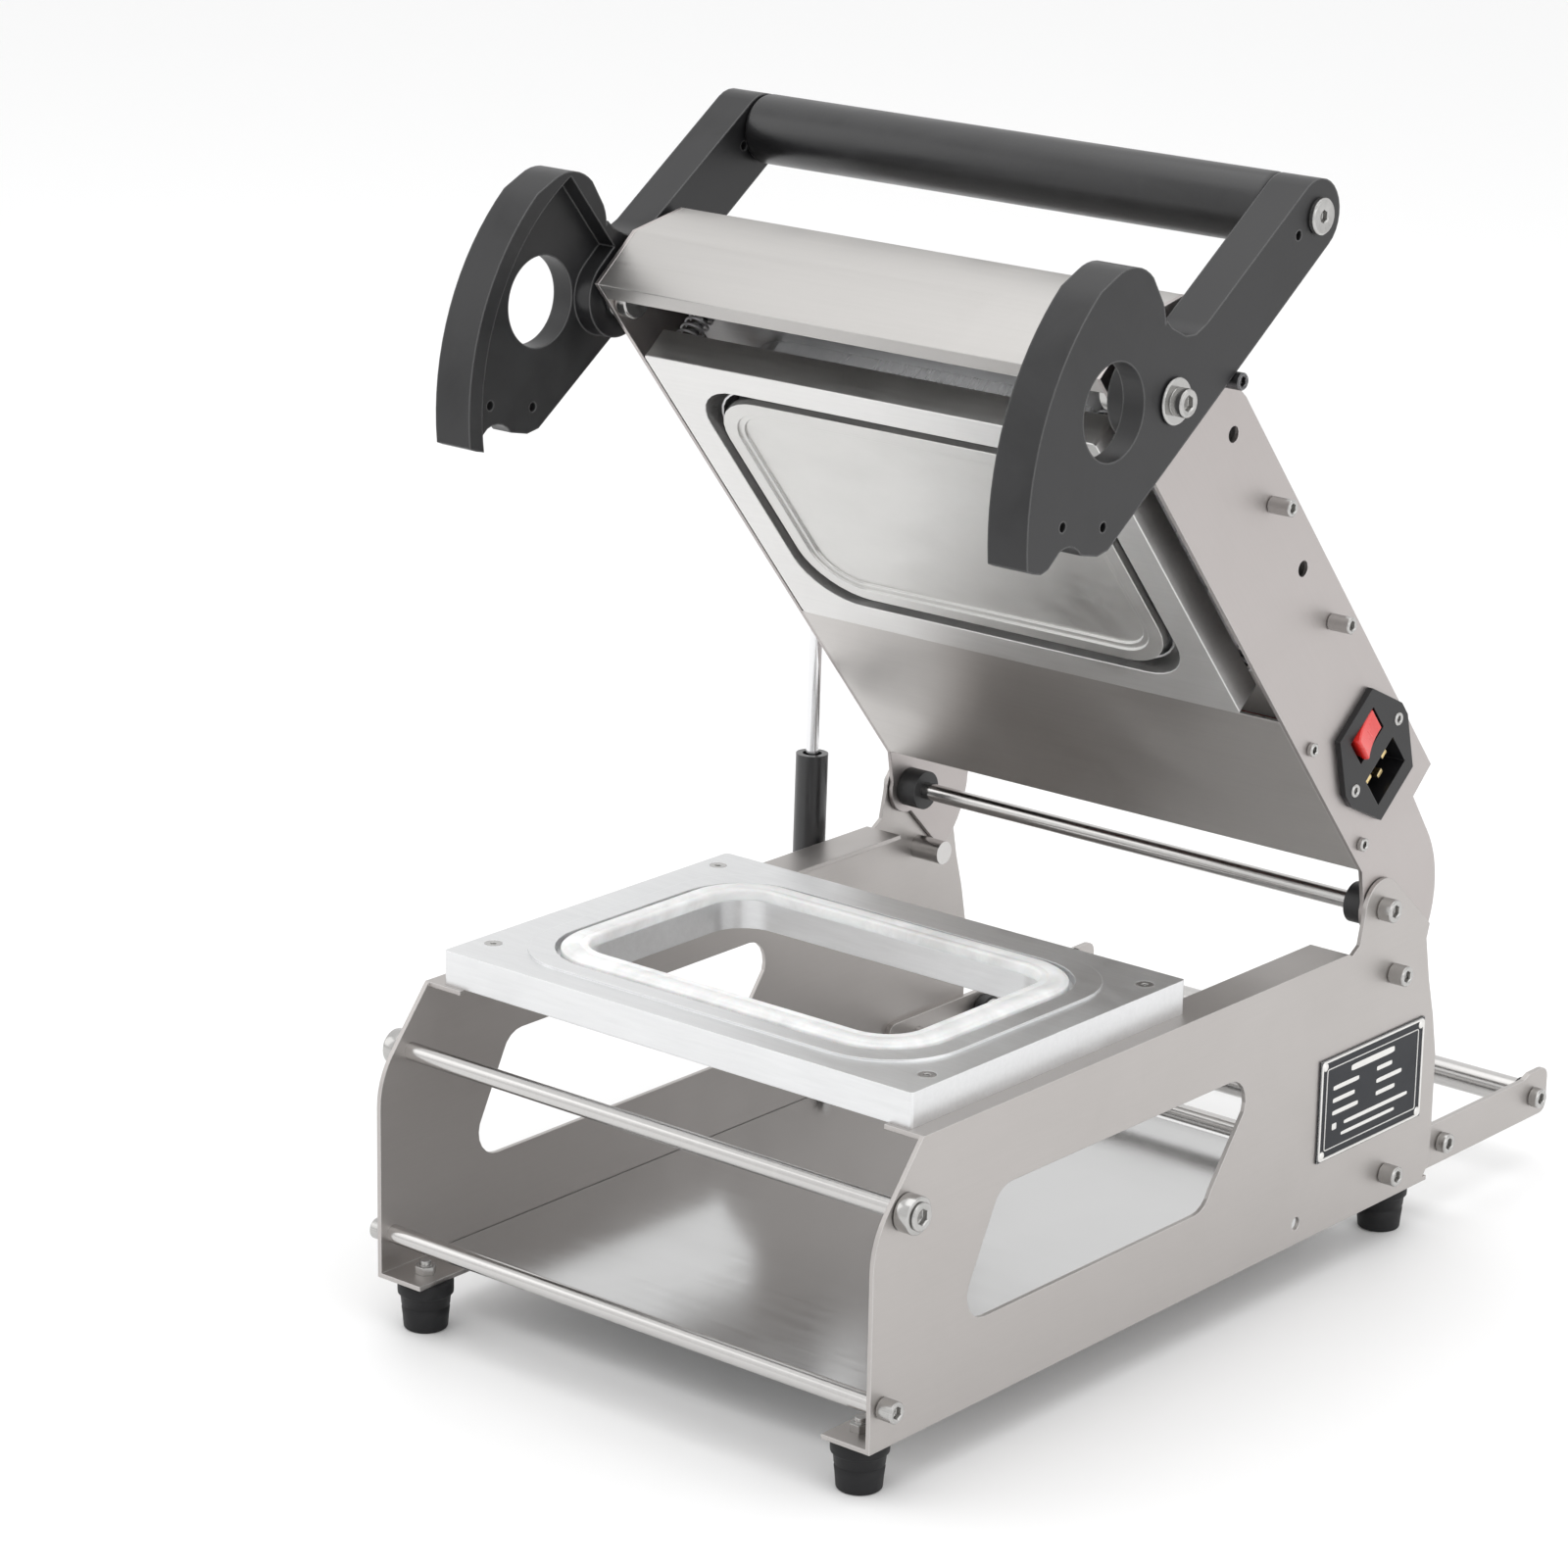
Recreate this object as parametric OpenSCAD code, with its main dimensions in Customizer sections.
// Hand-operated tray sealing machine: an open steel base carries the lower mould and the film
// cradle, and a hinged lid carries the sprung upper mould, the heater and the pull-down handle.
// The base stands on Z = 0 with its front towards -Y. Lid pieces are drawn closed, then opened.

/* [Base frame] */
// Width over the outer faces of the two side plates
base_w = 268; // [240:1:325]
// Length of a side plate from front edge to rear edge
base_l = 399; // [370:1:480]
// Height of the side plates' top flange above the floor
base_top = 147.5; // [135:0.5:175]
// Sheet thickness of the side plates
plate_t = 2; // [1.5:0.1:3]
// How far the side plates' top flanges reach in under the mould
mould_seat = 11.5; // [10.5:0.5:18]
// Width of the inward bottom flange
bottom_flange_w = 22.5; // [20:0.5:30]
// Height of the window in each side plate
window_h = 53.6; // [30:0.2:60]
// Length of the window along its lower edge
window_l = 165; // [100:1:180]
// Radius of the four tie rods
rod_r = 4; // [3:0.5:5]

/* [Feet] */
// Height of a rubber foot
foot_h = 22.3; // [15:0.1:35]
// Radius of a foot at its top
foot_top_r = 12; // [9:0.5:13]
// Radius of a foot at the floor
foot_base_r = 9.5; // [7:0.5:12]

/* [Hinge and lid] */
// Distance of the hinge axis from the front edge
hinge_y = 349.2; // [335:0.2:360]
// Height of the hinge axis above the top flange
hinge_rise = 14.9; // [13:0.1:20]
// Angle between the lid as it stands open and the closed lid
lid_open = 50.6; // [30:0.2:70]
// Height of the lid's side plates
lid_h = 62.8; // [55:0.2:80]
// Gap between a lid plate and the side plate that it swings inside
lid_side_gap = 0.5; // [0.3:0.1:1.5]
// Radius of the lid plate's round heel about the hinge
heel_r = 45; // [36:0.5:48]

/* [Lower mould] */
// Width of the tray opening
tray_w = 173; // [140:1:180]
// Depth of the tray opening, front to back
tray_d = 109; // [80:1:115]
// Corner radius of the tray opening
tray_r = 18; // [8:1:30]
// Width of the silicone seal round the opening
seal_w = 12; // [8:0.5:14]
// Height of the seal above the mould's face
seal_h = 2.8; // [1.5:0.1:4]
// Thickness of the mould plate
mould_t = 15; // [10:0.5:18]
// Width of the mould plate
mould_w = 251; // [240:1:254]
// Depth of the mould plate, front to back
mould_d = 182; // [170:1:190]
// Distance from the front edge to the middle of the mould
mould_y = 123; // [115:1:130]
// Width of the groove that takes the knife
groove_w = 2.6; // [2:0.1:4]

/* [Upper mould] */
// Thickness of the sprung clamping frame
frame_t = 15; // [10:0.5:18]
// Width of the frame's face
frame_rim = 15.8; // [10:0.2:18]
// How far the frame stands below the lid's side plates when the lid is open
frame_proud = 7; // [3:0.5:10]
// Thickness of the heater plate
heater_t = 14; // [8:0.5:16]
// Thickness of the knife blade
knife_t = 1; // [0.6:0.1:1.4]
// Height of the backing plate above the closed mould's face
backing_rise = 27.5; // [24:0.5:34]

/* [Handle] */
// Thickness of a handle arm and its cam
arm_t = 19; // [14:0.5:24]
// Width of the straight arm
arm_w = 30; // [24:0.5:34]
// Distance of the grip from the handle's pivot
grip_reach = 111.4; // [90:0.2:150]
// Radius of the grip
grip_r = 15; // [12:0.5:16]
// Depth of the roller track in the cam's inner face
track_depth = 8.7; // [8:0.1:10]
// Width of the rim that holds the roller in
rim_w = 8; // [6:0.5:10]
// Radius of the lock rollers
roller_r = 8; // [6:0.2:8.4]

/* [Film cradle] */
// How far the cradle's arms reach behind the side plates
cradle_reach = 102; // [70:1:160]
// Radius of a film roller
film_roller_r = 6.5; // [5:0.5:8]

/* [Gas strut] */
// Radius of the strut's cylinder
strut_r = 7.5; // [6.5:0.5:9]
// Radius of the strut's rod
strut_rod_r = 3; // [2:0.5:4]
// Length of the cylinder tube
strut_tube = 143; // [120:1:146]

/* [Power inlet] */
// Distance between the inlet's two fixing screws
inlet_pitch = 40; // [40:1:40]
// Length of the inlet's flange along the lid
inlet_l = 55; // [50:0.5:60]

/* [Hidden] */
$fn = 48;

// Clearances
running = 0.05;   // radial, between a pin and the bore that turns on it
air = 0.3;        // between pieces that only pass each other
drop = 0.3;       // between sheet pieces that are laid in

// Places in the base
half_w = base_w / 2;
in_x = half_w - plate_t;
hinge_z = base_top + hinge_rise;
mould_top = base_top + mould_t;
cradle_back = base_l + cradle_reach;
length_total = cradle_back;
front_low = [7.3, foot_h + 18.1];
front_up = [18.6, mould_top - 43];
rear_low = [base_l - 38, foot_h + 13.7];
rear_up = [hinge_y + 10.8, hinge_z - 32.4];
top_flange_w = half_w - mould_w / 2 + mould_seat;
foot_in = 1.2;
foot_x = in_x - foot_top_r - foot_in;
foot_ys = [foot_top_r + foot_in, base_l - foot_top_r - foot_in - 2];
stud_r = 2.5;
ear_r = 13.5;

// Places in the lid, with the lid closed
lid_x = in_x - lid_side_gap;
lid_in = lid_x - plate_t;
lid_z = mould_top + 1.2;
lid_top = lid_z + lid_h;
cover_z = lid_top - 4.6;
lid_front = 2.5;
lid_rear = hinge_y - 21.2;
crease_z = lid_z + 30.8;
hood_y = lid_front + 15.1;
sheet_t = 1.5;

// The cutting line, from which both moulds take their size
ring_w = tray_w + 2 * seal_w;
ring_d = tray_d + 2 * seal_w;
ring_r = tray_r + seal_w;
cut_off = groove_w / 2;
heater_off = 1.6;
frame_off = groove_w + 1.4;
band_off = groove_w + 9;
band_h = 1;
groove_deep = 3;
seal_top = mould_top + seal_h;
frame_z = lid_z - frame_proud;
frame_up = mould_top + band_h + air - frame_z;
heater_z = frame_z + 0.5;
heater_up = seal_top + air - heater_z;
knife_low = mould_top - 1;
backing_z = mould_top + backing_rise;
backing_t = 6;
bolt_r = 3;
bolt_head = 5;
spring_r = 5.5;
spring_wire = 1.2;
element_t = 4;

// Cross bars and the screws that hold them
bar_s = 10;
bar_ys = [lid_front + 132.5, lid_front + 209];
bar_z = lid_top - 14;

// Handle: its pivot, and its outline about that pivot
pivot = [lid_front + 18, lid_z + 9.2];
pivot_r = 5;
arm_in = half_w + 0.7;
arm_out = arm_in + arm_t;
arm_lean = -6.8;
grip_c = [grip_reach * sin(-arm_lean), grip_reach * cos(arm_lean)];
cam_c = [46.7, -5.2];
cam_r = 117;
lobe_c = [-47.5, -1];
lobe_r = 20.5;
hub_r = 18;
hole_c = [-26.1, -29.1];
hole_r = 19.5;
stop_c = [pivot[0] + 26.1, pivot[1] + 33.7];
stop_r = 3.6;
roller_w = track_depth - 1.6;

// Gas strut: lower end on the base, upper end on the lid
strut_x = half_w + 11;
strut_foot = [hinge_y - 56.2, hinge_z - 130.4];
strut_head = [hinge_y - 116.2, hinge_z + 29.6];
function opened(p) = let (a = -lid_open, d = p - [hinge_y, hinge_z])
    [hinge_y + d[0] * cos(a) - d[1] * sin(a), hinge_z + d[0] * sin(a) + d[1] * cos(a)];
strut_top = opened(strut_head);
strut_len = norm(strut_top - strut_foot);
strut_lean = atan2(strut_top[0] - strut_foot[0], strut_top[1] - strut_foot[1]);
eye_r = 7;
eye_slot = 4;     // the upper eye is slotted, since the rod and the lid's stud part a little mid-way
eye_play = 1;
eye_w = 10;
gland_r = strut_rod_r + 1.5;
strut_start = 12;

// Power inlet on the right lid plate
inlet_y = hinge_y - 63.7;
inlet_z = lid_z + 35.3;
inlet_t = 3;
inlet_body = [47, 27];
switch_y = inlet_y - 13.5;
socket_y = inlet_y + 11.5;
socket_size = [17, 25];
socket_deep = 17;
rocker_tilt = 10;

function arc(c, r, a0, a1, n) = [for (i = [0:n]) c + r * [cos(a0 + (a1 - a0) * i / n),
    sin(a0 + (a1 - a0) * i / n)]];
function rounded(w, d, r) = concat(
    arc([w / 2 - r, d / 2 - r], r, 0, 90, 8), arc([r - w / 2, d / 2 - r], r, 90, 180, 8),
    arc([r - w / 2, r - d / 2], r, 180, 270, 8), arc([w / 2 - r, r - d / 2], r, 270, 360, 8));
function mirrored(points) = [for (p = points) [p[1], p[0]]];

// Moves a piece from the front edge's frame to the part's own origin
module part() translate([0, -length_total / 2, 0]) children();

// Opens a piece that is drawn with the lid closed
module in_lid() part()
    translate([0, hinge_y, hinge_z]) rotate([-lid_open, 0, 0]) translate([0, -hinge_y, -hinge_z])
        children();

// Stands an outline drawn in (y, z) on a side face: from x0 for a length along +X
module along_x(x0, length) translate([x0, 0, 0]) rotate([90, 0, 90]) linear_extrude(length) children();

// A round bar along X
module bar_x(x0, x1, r, at) translate([x0, at[0], at[1]]) rotate([0, 90, 0]) cylinder(r = r, h = x1 - x0);

// A drilled ring along X
module ring_x(x0, x1, r, hole, at) difference() {
    bar_x(x0, x1, r, at);
    bar_x(x0 - 1, x1 + 1, hole, at);
}

module both_sides() {
    children();
    mirror([1, 0, 0]) children();
}

// A cap screw along X: its shank starts at x0, its head runs from x1 to x2 with a hexagon socket
module cap_screw_x(x0, x1, x2, shank_r, head_r, at) difference() {
    union() {
        bar_x(x0, x1, shank_r, at);
        bar_x(x1, x2, head_r, at);
    }
    translate([x2 - 2.5, at[0], at[1]]) rotate([0, 90, 0]) cylinder(r = head_r * 0.55, h = 3, $fn = 6);
}

// ---- Base ----

module side_outline() {
    rear = base_l;
    polygon(concat(
        [[0, foot_h], [0, base_top - 49]],
        arc([36, base_top - 49], 36, 180, 143, 6),
        [[29.5, base_top], [hinge_y - 25, base_top], [hinge_y - 22, base_top - 1.5],
            [hinge_y - ear_r - 3, base_top + 2]],
        arc([hinge_y, hinge_z], ear_r, 180, 50, 10),
        [[rear - 11, base_top - 1.5], [rear - 13, base_top - 8], [rear - 9, base_top - 28],
            [rear - 4, base_top - 46], [rear, base_top - 66], [rear, foot_h + 8], [rear - 7, foot_h]]));
}

module window_outline() {
    r = 12;
    low = foot_h + 36.4;
    high = low + window_h;
    y0 = 60;
    y1 = y0 + window_l + 18;
    lean = 15;
    polygon(concat(
        arc([y0 + r, low + r], r, 270, 160, 6), arc([y0 + r + lean, high - r], r, 160, 90, 4),
        arc([y1 + r * 0.6 - r, high - r], r, 90, -20, 6),
        arc([y1 - r - lean, low + r], r, -20, -90, 4)));
}

module side_plate() difference() {
    union() {
        along_x(in_x, plate_t) side_outline();
        translate([half_w - top_flange_w, 29.5, base_top - plate_t])
            cube([top_flange_w, hinge_y - 54.5, plate_t]);
        translate([half_w - bottom_flange_w - plate_t, 0, foot_h])
            cube([bottom_flange_w + plate_t, base_l - 2, plate_t]);
    }
    along_x(in_x - 1, plate_t + 2) window_outline();
    for (p = [front_low, front_up, rear_low, rear_up, [hinge_y, hinge_z]])
        bar_x(in_x - 1, half_w + 1, 3 + running, p);
    bar_x(in_x - 1, half_w + 1, 3, strut_foot);
    for (y = foot_ys) translate([foot_x, y, foot_h - 1]) cylinder(r = stud_r + air, h = plate_t + 2);
    for (y = mould_screw_ys) translate([mould_screw_x, y, base_top - plate_t - 1])
        cylinder(r = 2, h = plate_t + 2);
}

module side_plate_right() color("silver") part() side_plate();

module side_plate_left() color("silver") part() mirror([1, 0, 0]) side_plate();

module bottom_tray() color("gainsboro") part() {
    w = 2 * (in_x - drop);
    y0 = foot_ys[0] + foot_top_r + 4;
    y1 = foot_ys[1] - foot_top_r;
    translate([-w / 2, y0, foot_h + plate_t]) cube([w, y1 - y0, 1.2]);
}

module tie_rod(at) color("lightgray") part() difference() {
    bar_x(-in_x, in_x, rod_r, at);
    both_sides() bar_x(in_x - 14, in_x + 1, 3, at);
}

module front_lower_rod() tie_rod(front_low);

module front_upper_rod() tie_rod(front_up);

// Short posts inside the side plates, just clear of the open lid's rear edges
module rear_posts() color("lightgray") part() both_sides() difference() {
    bar_x(in_x - 16, in_x, rod_r + 1.5, rear_up);
    bar_x(in_x - 14, in_x + 1, 3, rear_up);
}

// The lower rear rod also passes through the cradle's two arms
module rear_lower_rod() tie_rod(rear_low);

// The hinge rod passes through the lid plates and stops against the side plates' ears
module hinge_rod() tie_rod([hinge_y, hinge_z]);

module hinge_bushes() color("#202020") part() both_sides() {
    ring_x(lid_in - 10.3, lid_in - air, 9, rod_r, [hinge_y, hinge_z]);
}

module frame_screws() color("gainsboro") part() both_sides() {
    for (p = [front_low, rear_low, rear_up]) cap_screw_x(in_x - 12, half_w, half_w + 8, 3, 4.6, p);
    cap_screw_x(in_x - 12, half_w, half_w + 7, 3, 5.2, [hinge_y, hinge_z]);
}

module feet() color("#1c1c1c") part() both_sides() for (y = foot_ys) {
    translate([foot_x, y, 0]) difference() {
        rotate_extrude() polygon([[0, 0], [foot_base_r - 1, 0], [foot_base_r, 1],
            [foot_top_r - 1.4, foot_h * 0.7], [foot_top_r, foot_h * 0.78], [foot_top_r, foot_h], [0, foot_h]]);
        translate([0, 0, foot_h * 0.4]) cylinder(r = stud_r, h = foot_h);
    }
}

module foot_studs() color("gainsboro") part() both_sides() for (y = foot_ys) {
    translate([foot_x, y, foot_h * 0.4]) cylinder(r = stud_r, h = foot_h * 0.6 + plate_t + 6);
    translate([foot_x, y, foot_h + plate_t]) difference() {
        cylinder(r = 4.6, h = 3.6, $fn = 6);
        translate([0, 0, -1]) cylinder(r = stud_r, h = 6);
    }
}

// Each lock roller turns on the plain shoulder of this screw
module lock_roller_screws() color("gainsboro") part() both_sides() {
    shoulder = half_w + roller_w + air;
    cap_screw_x(in_x - 12, shoulder, arm_in + track_depth - air, 3, 6, front_up);
    ring_x(half_w, shoulder - 1, 4, 3, front_up);
}

module lock_roller() color("whitesmoke") part() {
    ring_x(half_w + air / 2, half_w + roller_w + air / 2, roller_r, 4 + running, front_up);
}

module lock_roller_right() lock_roller();

module lock_roller_left() mirror([1, 0, 0]) lock_roller();

// ---- Lower mould ----

mould_screw_x = mould_w / 2 - 9;
mould_screw_ys = [mould_y - 70.4, mould_y + 74.7];

module mould_slab(w, d, r, z0, z1) translate([0, mould_y, z0]) linear_extrude(z1 - z0)
    polygon(rounded(w, d, r));

module lower_mould() color("#c8ccd0") part() difference() {
    union() {
        mould_slab(mould_w, mould_d, 1.5, base_top, mould_top);
        mould_slab(ring_w + 2 * band_off, ring_d + 2 * band_off, ring_r + band_off / 2, mould_top - 1,
            mould_top + band_h);
    }
    mould_slab(tray_w, tray_d, tray_r, base_top - 1, mould_top + 5);
    mould_slab(ring_w, ring_d, ring_r, mould_top - 2, mould_top + 5);
    difference() {
        mould_slab(ring_w + 2 * groove_w, ring_d + 2 * groove_w, ring_r + groove_w,
            mould_top - groove_deep, mould_top + 5);
        mould_slab(ring_w, ring_d, ring_r, mould_top - groove_deep - 1, mould_top + 6);
    }
    both_sides() for (y = mould_screw_ys) translate([mould_screw_x, y, 0]) {
        translate([0, 0, base_top - 1]) cylinder(r = 2 + running, h = mould_t + 4);
        translate([0, 0, mould_top - 2]) cylinder(r1 = 2, r2 = 4.2, h = 2.2);
    }
    translate([66, mould_y + mould_d / 2 - 9, mould_top - 5]) rotate([-90, 0, 0])
        cylinder(r = 2, h = 10);
}

// The seal is a strip with a crowned top, let 2 mm into the mould
module tray_seal() color("white") part() difference() {
    union() {
        mould_slab(ring_w, ring_d, ring_r, mould_top - 2, mould_top + seal_h * 0.5);
        mould_slab(ring_w - seal_w * 0.5, ring_d - seal_w * 0.5, ring_r - seal_w * 0.25, mould_top,
            mould_top + seal_h);
    }
    mould_slab(tray_w, tray_d, tray_r, mould_top - 3, mould_top + 9);
}

module mould_screws() color("#8c8f92") part() {
    both_sides() for (y = mould_screw_ys) translate([mould_screw_x, y, 0]) difference() {
        union() {
            translate([0, 0, base_top - plate_t - 3]) cylinder(r = 2, h = mould_t + plate_t + 1);
            translate([0, 0, mould_top - 2]) cylinder(r1 = 2, r2 = 4, h = 2);
        }
        translate([0, 0, mould_top - 1.2]) cylinder(r = 1.5, h = 2, $fn = 6);
    }
    translate([66, mould_y + mould_d / 2 - 8, mould_top - 5]) rotate([-90, 0, 0]) {
        cylinder(r = 2, h = 8);
        translate([0, 0, 8]) cylinder(r = 4, h = 4);
    }
}

// ---- Nameplate ----

plate_y = [base_l - 93, base_l - 12];
plate_z = [foot_h + 33.7, foot_h + 80.7];

module nameplate() color("#15181c") part() difference() {
    translate([half_w, plate_y[0], plate_z[0]])
        cube([1, plate_y[1] - plate_y[0], plate_z[1] - plate_z[0]]);
    for (y = rivet_ys, z = rivet_zs) bar_x(half_w - 1, half_w + 2, 1.2, [y, z]);
}

rivet_ys = [plate_y[0] + 3, plate_y[1] - 3];
rivet_zs = [plate_z[0] + 3, plate_z[1] - 3];

module nameplate_rivets() color("silver") part() for (y = rivet_ys, z = rivet_zs) {
    bar_x(half_w, half_w + 1, 1.2, [y, z]);
    bar_x(half_w + 1, half_w + 1.7, 2, [y, z]);
}

// ---- Film cradle ----

cradle_t = 2.5;
roller_ys = [base_l + 12, cradle_back - 12];

module cradle_arms() color("silver") part() both_sides() difference() {
    y0 = rear_low[0] - 22;
    z0 = foot_h + 3.7;
    z1 = z0 + 20;
    along_x(in_x - cradle_t, cradle_t) polygon(concat(
        [[y0, z0 + 4]], arc([y0 + 5, z1 - 5], 5, 180, 90, 4),
        [[cradle_back - 20, z1], [cradle_back - 15, z1 + 2]], arc([cradle_back - 5, z1 - 3], 5, 90, 0, 4),
        arc([cradle_back - 5, z0 + 5], 5, 0, -90, 4), [[y0 + 4, z0]]));
    bar_x(in_x - cradle_t - 1, in_x + 1, rod_r, rear_low);
    for (y = roller_ys) bar_x(in_x - cradle_t - 1, in_x + 1, 3, [y, rear_low[1]]);
}

// Each film roller turns on the ends of two of these screws
module cradle_screws() color("gainsboro") part() both_sides() for (y = roller_ys) {
    cap_screw_x(in_x - cradle_t - 14, in_x, in_x + 5, 3, 4.6, [y, rear_low[1]]);
}

module film_roller(y) part() difference() {
    bar_x(-in_x + cradle_t + 5, in_x - cradle_t - 5, film_roller_r, [y, rear_low[1]]);
    both_sides() bar_x(in_x - cradle_t - 16, in_x, 3 + running, [y, rear_low[1]]);
}

module film_roller_middle() color("gray") film_roller(roller_ys[0]);

module film_roller_rear() color("lightgray") film_roller(roller_ys[1]);

module roller_bushes(y) color("#202020") part() both_sides()
    ring_x(in_x - cradle_t - 5, in_x - cradle_t - air, film_roller_r + 1, 3 + running, [y, rear_low[1]]);

module middle_roller_bushes() roller_bushes(roller_ys[0]);

module rear_roller_bushes() roller_bushes(roller_ys[1]);

// ---- Lid shell ----

module lid_outline() polygon(concat(
    [[lid_front, lid_z], [lid_front, crease_z], [hood_y, cover_z], [hood_y + 44, cover_z],
        [hood_y + 66, lid_top], [lid_rear, lid_top], [lid_rear + 1, lid_top - 17.5]],
    arc([hinge_y, hinge_z], heel_r, 83, -4, 12),
    arc([hinge_y, hinge_z], ear_r - 1, -30, -150, 8),
    [[hinge_y - 24, lid_z]]));

module lid_plate(cut_inlet) in_lid() difference() {
    along_x(lid_in, plate_t) lid_outline();
    bar_x(lid_in - 1, lid_x + 1, rod_r + running, [hinge_y, hinge_z]);
    bar_x(lid_in - 1, lid_x + 1, pivot_r, pivot);
    bar_x(lid_in - 1, lid_x + 1, 3, stop_c);
    for (y = bar_ys) bar_x(lid_in - 1, lid_x + 1, 3, [y, bar_z]);
    for (p = spare_holes) bar_x(lid_in - 1, lid_x + 1, 3.5, p);
    for (y = sheet_screw_ys) bar_x(lid_in - 1, lid_x + 1, 1.5, [y, sheet_screw_z]);
    if (cut_inlet) {
        translate([lid_in - 1, inlet_y - inlet_body[0] / 2, inlet_z - inlet_body[1] / 2])
            cube([plate_t + 2, inlet_body[0], inlet_body[1]]);
        for (s = [-1, 1]) bar_x(lid_in - 1, lid_x + 1, 1.6, [inlet_y, inlet_z + s * inlet_pitch / 2]);
    } else bar_x(lid_in - 1, lid_x + 1, 3, strut_head);
}

spare_holes = [[lid_front + 87.5, lid_top - 15], [lid_front + 173.5, lid_top - 14.5]];
sheet_screw_ys = [hinge_y - 103, hinge_y - 36];
sheet_screw_z = lid_z + 6.5;

module lid_plate_right() color("silver") lid_plate(true);

module lid_plate_left() color("silver") mirror([1, 0, 0]) lid_plate(false);

// One folded sheet: upright front, sloping shoulder and a flange that the cover butts against
module front_hood() color("gainsboro") in_lid() {
    t = sheet_t;
    along_x(-lid_in, 2 * lid_in) polygon([
        [lid_front, lid_z], [lid_front, crease_z], [hood_y, cover_z], [hood_y + 44, cover_z],
        [hood_y + 44, cover_z - t], [hood_y + t * 0.6, cover_z - t], [lid_front + t, crease_z - t * 0.3],
        [lid_front + t, lid_z + t], [lid_front + 9, lid_z + t], [lid_front + 9, lid_z]]);
}

module top_cover() color("gainsboro") in_lid() {
    t = sheet_t;
    back = lid_rear - 2;
    along_x(-lid_in, 2 * lid_in) polygon([
        [hood_y + 44 + air, cover_z], [back, cover_z], [back, cover_z - 22], [back - t, cover_z - 22],
        [back - t, cover_z - t], [hood_y + 44 + air, cover_z - t]]);
}

sheet_front = mould_y + (ring_d / 2 + frame_off + frame_rim) + 11;

// The lid's underside behind the mould, with a flange turned up along each side plate
module rear_sheet() color("silver") in_lid() {
    y1 = hinge_y - 25;
    translate([-lid_in, sheet_front, lid_z]) cube([2 * lid_in, y1 - sheet_front, sheet_t]);
    both_sides() difference() {
        translate([lid_in - sheet_t, sheet_front, lid_z]) cube([sheet_t, y1 - sheet_front, 14]);
        for (y = sheet_screw_ys) bar_x(lid_in - sheet_t - 1, lid_in + 1, 1.5, [y, sheet_screw_z]);
    }
}

// Small screws: those of the folded sheets on both sides, and the inlet's two on the right
module panel_screws() color("gainsboro") in_lid() {
    both_sides() for (y = sheet_screw_ys)
        cap_screw_x(lid_in - sheet_t - 2, lid_x, lid_x + 2.6, 1.5, 3, [y, sheet_screw_z]);
    for (s = [-1, 1])
        cap_screw_x(lid_in, lid_x + inlet_t - 1.6, lid_x + inlet_t + 0.6, 1.6, 3,
            [inlet_y, inlet_z + s * inlet_pitch / 2]);
}

module cross_bars() color("lightgray") in_lid() for (y = bar_ys) difference() {
    translate([-lid_in, y - bar_s / 2, bar_z - bar_s / 2]) cube([2 * lid_in, bar_s, bar_s]);
    both_sides() bar_x(lid_in - 14, lid_in + 1, 3, [y, bar_z]);
    both_sides() translate([post_x, y, bar_z - bar_s]) cylinder(r = 2.5, h = 2 * bar_s);
}

module cross_bar_screws() color("gainsboro") in_lid() both_sides() for (y = bar_ys)
    cap_screw_x(lid_in - 12, lid_x, lid_x + 11, 3, 3.6, [y, bar_z]);

// The handle's arms lean back against these two long screws
module stop_screws() color("#303030") in_lid() both_sides() {
    bar_x(lid_in - 3, lid_x, 3, stop_c);
    cap_screw_x(lid_x, lid_x + 2, arm_out + 3, 5, stop_r, stop_c);
    bar_x(lid_x, lid_x + 2, 6, stop_c);
    bar_x(lid_in - 3, lid_in, 5.5, stop_c);
}

// ---- Upper mould ----

frame_w = ring_w + 2 * frame_off;
frame_d = ring_d + 2 * frame_off;
frame_r = ring_r + frame_off - 8;
bolt_x = frame_w / 2 + frame_rim / 2;
bolt_dy = frame_d / 2 + frame_rim / 2;
post_x = bolt_x - 41;
heater_w = ring_w - 2 * heater_off;
heater_d = ring_d - 2 * heater_off;
heater_bolt_x = 45;

module backing_plate() color("#b8bcc0") in_lid() difference() {
    translate([-bolt_x - 9, mould_y - bolt_dy - 9, backing_z])
        cube([2 * bolt_x + 18, 2 * bolt_dy + 18, backing_t]);
    for (x = [-bolt_x, bolt_x], y = [mould_y - bolt_dy, mould_y + bolt_dy])
        translate([x, y, backing_z - 1]) cylinder(r = bolt_r + running, h = backing_t + 2);
    for (x = [-heater_bolt_x, heater_bolt_x])
        translate([x, mould_y, backing_z - 1]) cylinder(r = bolt_r + running, h = backing_t + 2);
    for (x = [-post_x, post_x], y = bar_ys)
        translate([x, y, backing_z - 1]) cylinder(r = 2.5, h = backing_t + 2);
}

// Posts with their screws hang the backing plate from the cross bars
module spacer_posts() color("gainsboro") in_lid() for (x = [-post_x, post_x], y = bar_ys) {
    translate([x, y, backing_z + backing_t]) cylinder(r = 5, h = bar_z - bar_s / 2 - backing_z - backing_t);
    translate([x, y, backing_z]) cylinder(r = 2.5, h = bar_z + bar_s / 2 - backing_z + 1);
    translate([x, y, bar_z + bar_s / 2]) cylinder(r = 4.5, h = 2.4, $fn = 6);
}

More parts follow.
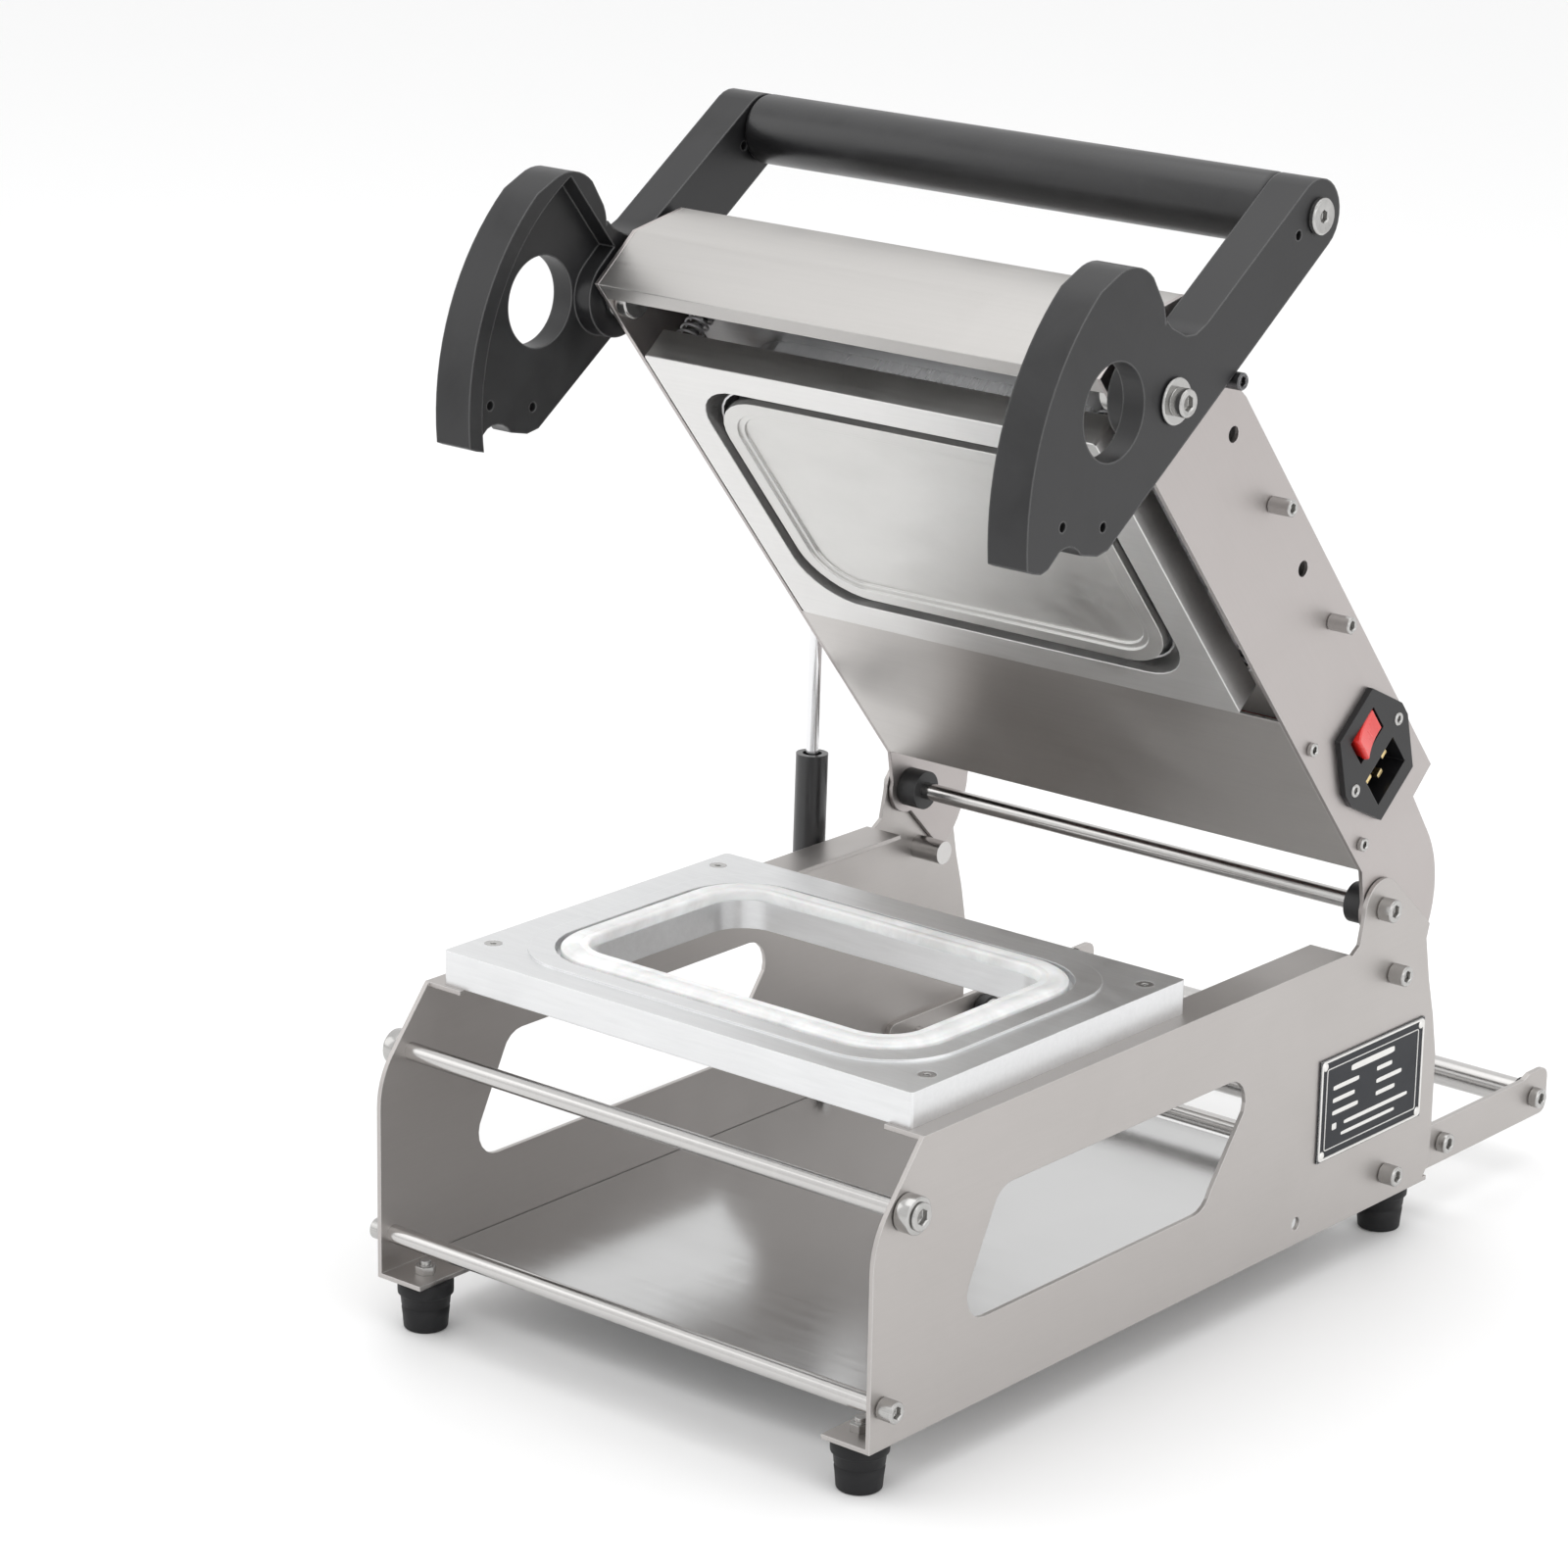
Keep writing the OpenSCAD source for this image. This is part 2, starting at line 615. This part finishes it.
// A thin blade ring that hangs from the backing plate and drops into the mould's groove
module cutter_knife() color("#9aa0a6") in_lid() difference() {
    union() {
        mould_slab(ring_w + 2 * cut_off + knife_t, ring_d + 2 * cut_off + knife_t,
            ring_r + cut_off + knife_t / 2, knife_low, backing_z);
    }
    mould_slab(ring_w + 2 * cut_off - knife_t, ring_d + 2 * cut_off - knife_t,
        ring_r + cut_off - knife_t / 2, knife_low - 1, backing_z + 1);
}

spring_len = backing_z - frame_z - frame_t + 0.5;
heater_top = heater_z + heater_t;
heater_seat = heater_top + element_t - heater_up - 1.1;
heater_spring_len = backing_z - heater_top - element_t + 0.5;

// Coil springs shown as plain sleeves round the guide bolts
module mould_springs() color("gray") in_lid() {
    for (x = [-bolt_x, bolt_x], y = [mould_y - bolt_dy, mould_y + bolt_dy])
        spring_sleeve([x, y, backing_z - spring_len], spring_len);
    for (x = [-heater_bolt_x, heater_bolt_x])
        spring_sleeve([x, mould_y, backing_z - heater_spring_len], heater_spring_len);
}

module spring_sleeve(at, h) translate(at) difference() {
    cylinder(r = spring_r, h = h);
    translate([0, 0, -1]) cylinder(r = spring_r - spring_wire, h = h + 2);
}

module clamp_frame() color("#c8ccd0") in_lid() difference() {
    mould_slab(frame_w + 2 * frame_rim, frame_d + 2 * frame_rim, 2, frame_z, frame_z + frame_t);
    mould_slab(frame_w, frame_d, frame_r, frame_z - 1, frame_z + frame_t + 1);
    for (x = [-bolt_x, bolt_x], y = [mould_y - bolt_dy, mould_y + bolt_dy]) {
        translate([x, y, frame_z + frame_t - frame_up - 1.5]) cylinder(r = spring_r + 0.6, h = frame_t);
        translate([x, y, frame_z + 3]) cylinder(r = 2.5, h = frame_t);
    }
}

// A shouldered bolt that slides in the backing plate, with its head resting on top
module guide_bolt(x, y, z0) translate([x, y, z0]) difference() {
    h = backing_z + backing_t - z0;
    union() {
        cylinder(r = bolt_r, h = h);
        translate([0, 0, h]) cylinder(r = bolt_head, h = 4);
    }
    translate([0, 0, h + 2]) cylinder(r = 2.5, h = 4, $fn = 6);
}

module frame_bolts() color("gainsboro") in_lid()
    for (x = [-bolt_x, bolt_x], y = [mould_y - bolt_dy, mould_y + bolt_dy]) {
        z0 = frame_z + frame_t - frame_up - 1.5;
        guide_bolt(x, y, z0);
        translate([x, y, frame_z + 3]) cylinder(r = 2.5, h = z0 - frame_z - 3);
    }

// The sealing face has a raised rim that presses on the seal
module heater_plate() color("#d0d3d6") in_lid() difference() {
    union() {
        mould_slab(heater_w - 3, heater_d - 3, ring_r - heater_off - 1.5, heater_z + 4, heater_top);
        mould_slab(heater_w, heater_d, ring_r - heater_off, heater_z, heater_z + 4);
    }
    mould_slab(heater_w - 14, heater_d - 14, ring_r - heater_off - 7, heater_z - 1, heater_z + 1);
    mould_slab(heater_w - 20, heater_d - 20, ring_r - heater_off - 10, heater_z - 1, heater_z + 2);
    for (x = [-heater_bolt_x, heater_bolt_x]) {
        translate([x, mould_y, heater_z + 5]) cylinder(r = 2.5, h = heater_t);
        translate([x, mould_y, heater_seat]) cylinder(r = spring_r + 0.6, h = heater_t);
    }
}

// Flat element clamped on the heater's back, cut away round the bolts' springs
module heater_element() color("#a08050") in_lid() difference() {
    translate([-heater_w / 2 + 14, mould_y - heater_d / 2 + 12, heater_top])
        cube([heater_w - 28, heater_d - 24, element_t]);
    for (x = [-heater_bolt_x, heater_bolt_x])
        translate([x, mould_y, heater_top - 1]) cylinder(r = spring_r + 0.8, h = element_t + 2);
}

module thermostat() color("#c0b8a8") in_lid() translate([0, mould_y + 30, heater_top + element_t]) {
    cylinder(r = 7, h = 4);
    translate([0, 0, 4]) cylinder(r = 4.5, h = 2);
}

module heater_bolts() color("gainsboro") in_lid() for (x = [-heater_bolt_x, heater_bolt_x]) {
    guide_bolt(x, mould_y, heater_seat);
    translate([x, mould_y, heater_z + 5]) cylinder(r = 2.5, h = heater_seat - heater_z - 5);
}

// ---- Electrics ----

block_c = [25 - bolt_x, mould_y - bolt_dy + 2, backing_z + backing_t];

module terminal_block() color("#8c7468") in_lid() translate(block_c) difference() {
    translate([-12, -8, 0]) cube([24, 16, 11]);
    for (x = [-6, 6]) {
        translate([x, 0, 4]) cylinder(r = 2.4, h = 10);
        translate([x, -9, 4]) rotate([-90, 0, 0]) cylinder(r = 1.6, h = 18);
    }
}

// Two insulated leads run flat along the backing plate from the inlet to the terminal block
module lid_wiring() color("#b04030") in_lid() for (i = [0, 1]) {
    x0 = block_c[0] - 6 + 12 * i;
    y0 = block_c[1] + 8 + air;
    z0 = block_c[2] + 4;
    y1 = inlet_y - 6 + 8 * i;
    bend = 6;
    translate([x0, y0, z0]) rotate([-90, 0, 0]) cylinder(r = 1.5, h = y1 - bend - y0, $fn = 24);
    translate([x0 + bend, y1 - bend, z0]) rotate([0, 0, 90]) rotate_extrude(angle = 90, $fn = 24)
        translate([bend, 0]) circle(r = 1.5, $fn = 24);
    translate([x0 + bend, y1, z0]) rotate([0, 90, 0])
        cylinder(r = 1.5, h = lid_x - inlet_depth - air - x0 - bend, $fn = 24);
}

inlet_depth = 26;

// Six-sided flange outside the plate, with a box behind it that holds the switch and the socket
module inlet_housing() color("#1a1a1a") in_lid() difference() {
    union() {
        along_x(lid_x, inlet_t) translate([inlet_y, inlet_z]) polygon([
            [-inlet_l / 2, -15], [-4, -inlet_pitch / 2 - 6], [4, -inlet_pitch / 2 - 6], [inlet_l / 2, -15],
            [inlet_l / 2, 15], [4, inlet_pitch / 2 + 6], [-4, inlet_pitch / 2 + 6], [-inlet_l / 2, 15]]);
        translate([lid_x - inlet_depth, inlet_y - inlet_body[0] / 2 + drop, inlet_z - inlet_body[1] / 2 + drop])
            cube([inlet_depth, inlet_body[0] - 2 * drop, inlet_body[1] - 2 * drop]);
    }
    translate([lid_x + inlet_t - socket_deep, socket_y - socket_size[0] / 2, inlet_z - socket_size[1] / 2])
        cube([socket_deep + 1, socket_size[0], socket_size[1]]);
    translate([lid_x - 8, switch_y - 7, inlet_z - 10.5]) cube([20, 14, 21]);
    for (s = [-1, 1]) {
        bar_x(lid_x - 1, lid_x + 4, 1.6, [inlet_y, inlet_z + s * inlet_pitch / 2]);
        bar_x(lid_x + inlet_t - 1.6, lid_x + 4, 3.2, [inlet_y, inlet_z + s * inlet_pitch / 2]);
    }
    for (p = inlet_pin_places) translate([lid_x - inlet_depth - 1, p[0] - 1, p[1] - 2])
        cube([inlet_depth, 2, 4]);
}

inlet_pin_places = [[socket_y - 2, inlet_z - 7], [socket_y - 2, inlet_z + 7], [socket_y + 3, inlet_z]];

module inlet_pins() color("gold") in_lid() for (p = inlet_pin_places)
    translate([lid_x - inlet_depth, p[0] - 1, p[1] - 2]) cube([inlet_depth - 1, 2, 4]);

rocker_c = [lid_x - 1, inlet_z];

// The rocker rests on a pin through its middle and is shown switched off
module rocker_switch() color("#d81e1e") in_lid()
    translate([rocker_c[0], switch_y, rocker_c[1]]) rotate([0, -rocker_tilt, 0]) rotate([90, 0, 0])
        translate([0, 0, -6.4]) linear_extrude(12.8) polygon(concat(
            [[-2.5, -6.5], [3.5, -9.2]], arc([38, 0], 33.5, 195, 165, 6), [[3.5, 9.2], [-2.5, 6.5]]));

// ---- Handle ----

// The web's outline about the pivot: the long front curve, the tip, the scallop, the arm, the lobe
module cam_outline() {
    end_a = 90 + arm_lean;
    w = arm_w / 2;
    up = [cos(end_a + 2.5), sin(end_a + 2.5)];
    side = [up[1], -up[0]];
    polygon(concat(
        arc(cam_c, cam_r, 181, 236.5, 16),
        [[-14.5, -101], [-10.5, -98], [-8.6, -93.8]],
        arc([2.6, -88], 11.5, 165, 85, 5),
        [[11.6, -70.2], [15.1, -64], [15.7, -54.5]],
        [grip_c - grip_reach * 0.9 * up + side * w * 0.98],
        arc(grip_c, w, end_a - 88, end_a + 90, 14),
        [[-8.4, 33], [-10.5, 25.5], [-15, 20.6], [-24.5, 16.2], [-29.5, 15.6]],
        arc(lobe_c + [7, 1.8], lobe_r - 3, 48, 88, 4),
        arc(lobe_c, lobe_r, 96, 168, 8)));
}

// The hollow in which the lock roller runs, open at the scallop
module track_outline() difference() {
    intersection() {
        translate(cam_c) circle(r = cam_r - rim_w, $fn = 128);
        translate([-90, -130]) square([140, 130 + lobe_r - 1 - rim_w]);
    }
    circle(r = hub_r);
    translate([-hub_r, 0]) square([60, 40]);
}

module handle_arm() translate([0, pivot[0], pivot[1]]) difference() {
    along_x(arm_in, arm_t) cam_outline();
    along_x(arm_in - 1, track_depth + 1) track_outline();
    bar_x(arm_in - 1, arm_out + 1, pivot_r + running, [0, 0]);
    bar_x(arm_in - 1, arm_out + 1, hole_r, hole_c);
    for (p = [[-14.8, -77.7], [5.3, -60.6], [9.6, 96.5]]) bar_x(arm_in - 1, arm_out + 1, 2, p);
    bar_x(arm_in - 1, arm_out + 1, 4, grip_c);
}

module handle_arm_right() color("#2a2a2a") in_lid() handle_arm();

module handle_arm_left() color("#2a2a2a") in_lid() mirror([1, 0, 0]) handle_arm();

module grip_sleeve() color("#242424") in_lid() ring_x(-arm_in, arm_in, grip_r, 6.5, pivot + grip_c);

module grip_rod() color("silver") in_lid() difference() {
    bar_x(-arm_in, arm_in, 6.5, pivot + grip_c);
    both_sides() bar_x(arm_in - 20, arm_in + 1, 4, pivot + grip_c);
}

module grip_screws() color("gainsboro") in_lid() both_sides()
    cap_screw_x(arm_in - 18, arm_out, arm_out + 3, 4, 7.5, pivot + grip_c);

// Shoulder screws with a spacer behind the arm and a wide washer in front of it
module pivot_screws() color("gainsboro") in_lid() both_sides() {
    cap_screw_x(lid_in - 6, arm_out + air + 1.6, arm_out + air + 7, pivot_r, 5.8, pivot);
    bar_x(arm_out + air, arm_out + air + 1.6, 9.5, pivot);
    bar_x(lid_x, arm_in - air, 9, pivot);
    bar_x(lid_in - 6, lid_in, 8.5, pivot);
}

// ---- Gas strut ----

module strut_frame() part() translate([-strut_x, strut_foot[0], strut_foot[1]])
    rotate([-strut_lean, 0, 0]) children();

module cross_pin(r, w, slot) {
    for (z = [-slot, slot]) translate([-w / 2, 0, z]) rotate([0, 90, 0]) cylinder(r = r, h = w);
    if (slot > 0) translate([-w / 2, -r, -slot]) cube([w, 2 * r, 2 * slot]);
}

module eye(hole, slot) difference() {
    cross_pin(eye_r, eye_w, slot);
    cross_pin(hole, eye_w + 2, slot);
}

module strut_cylinder() color("#161616") strut_frame() {
    eye(4 + running, 0);
    translate([0, 0, eye_r - 0.6]) cylinder(r = 4.5, h = strut_start - eye_r + 0.6);
    difference() {
        translate([0, 0, strut_start]) cylinder(r = strut_r, h = strut_tube);
        translate([0, 0, strut_start + 4]) cylinder(r = strut_r - 1, h = strut_tube - 10);
        translate([0, 0, strut_start + 4]) cylinder(r = gland_r, h = strut_tube);
    }
}

module strut_rod() color("gainsboro") strut_frame() {
    inside = strut_start + 22;
    open_end = strut_len - (strut_start + strut_tube);
    neck = strut_len - eye_r - eye_slot;
    translate([0, 0, strut_len]) eye(4 + eye_play, eye_slot);
    translate([0, 0, neck - 3]) cylinder(r = 4.5, h = 3.6);
    translate([0, 0, inside + open_end - 8]) cylinder(r = strut_rod_r, h = neck - 3 - inside - open_end + 8);
    translate([0, 0, inside + open_end - 14]) cylinder(r = gland_r + 0.4, h = 6);
}

// Shouldered studs that the strut's two eyes turn on
module strut_stud_low() color("silver") part() strut_stud(half_w, strut_foot, in_x - 3);

module strut_stud_high() color("silver") in_lid() strut_stud(lid_x, strut_head, lid_in - 3);

module strut_stud(face, at, inside) mirror([1, 0, 0]) {
    bar_x(inside, face, 3, at);
    bar_x(face, strut_x - eye_w / 2 - air, 6, at);
    bar_x(face, strut_x + eye_w / 2 + air, 4, at);
    bar_x(strut_x + eye_w / 2 + air, strut_x + eye_w / 2 + 2, 5.5, at);
}

side_plate_left();
side_plate_right();
bottom_tray();
front_lower_rod();
front_upper_rod();
rear_posts();
rear_lower_rod();
hinge_rod();
hinge_bushes();
frame_screws();
feet();
foot_studs();
lock_roller_screws();
lock_roller_left();
lock_roller_right();
lower_mould();
tray_seal();
mould_screws();
nameplate();
nameplate_rivets();
cradle_arms();
cradle_screws();
film_roller_middle();
film_roller_rear();
middle_roller_bushes();
rear_roller_bushes();
lid_plate_left();
lid_plate_right();
front_hood();
top_cover();
rear_sheet();
panel_screws();
cross_bars();
cross_bar_screws();
stop_screws();
backing_plate();
spacer_posts();
cutter_knife();
mould_springs();
terminal_block();
lid_wiring();
inlet_housing();
inlet_pins();
rocker_switch();
clamp_frame();
frame_bolts();
heater_plate();
heater_element();
thermostat();
heater_bolts();
handle_arm_left();
handle_arm_right();
grip_sleeve();
grip_rod();
grip_screws();
pivot_screws();
strut_cylinder();
strut_rod();
strut_stud_low();
strut_stud_high();
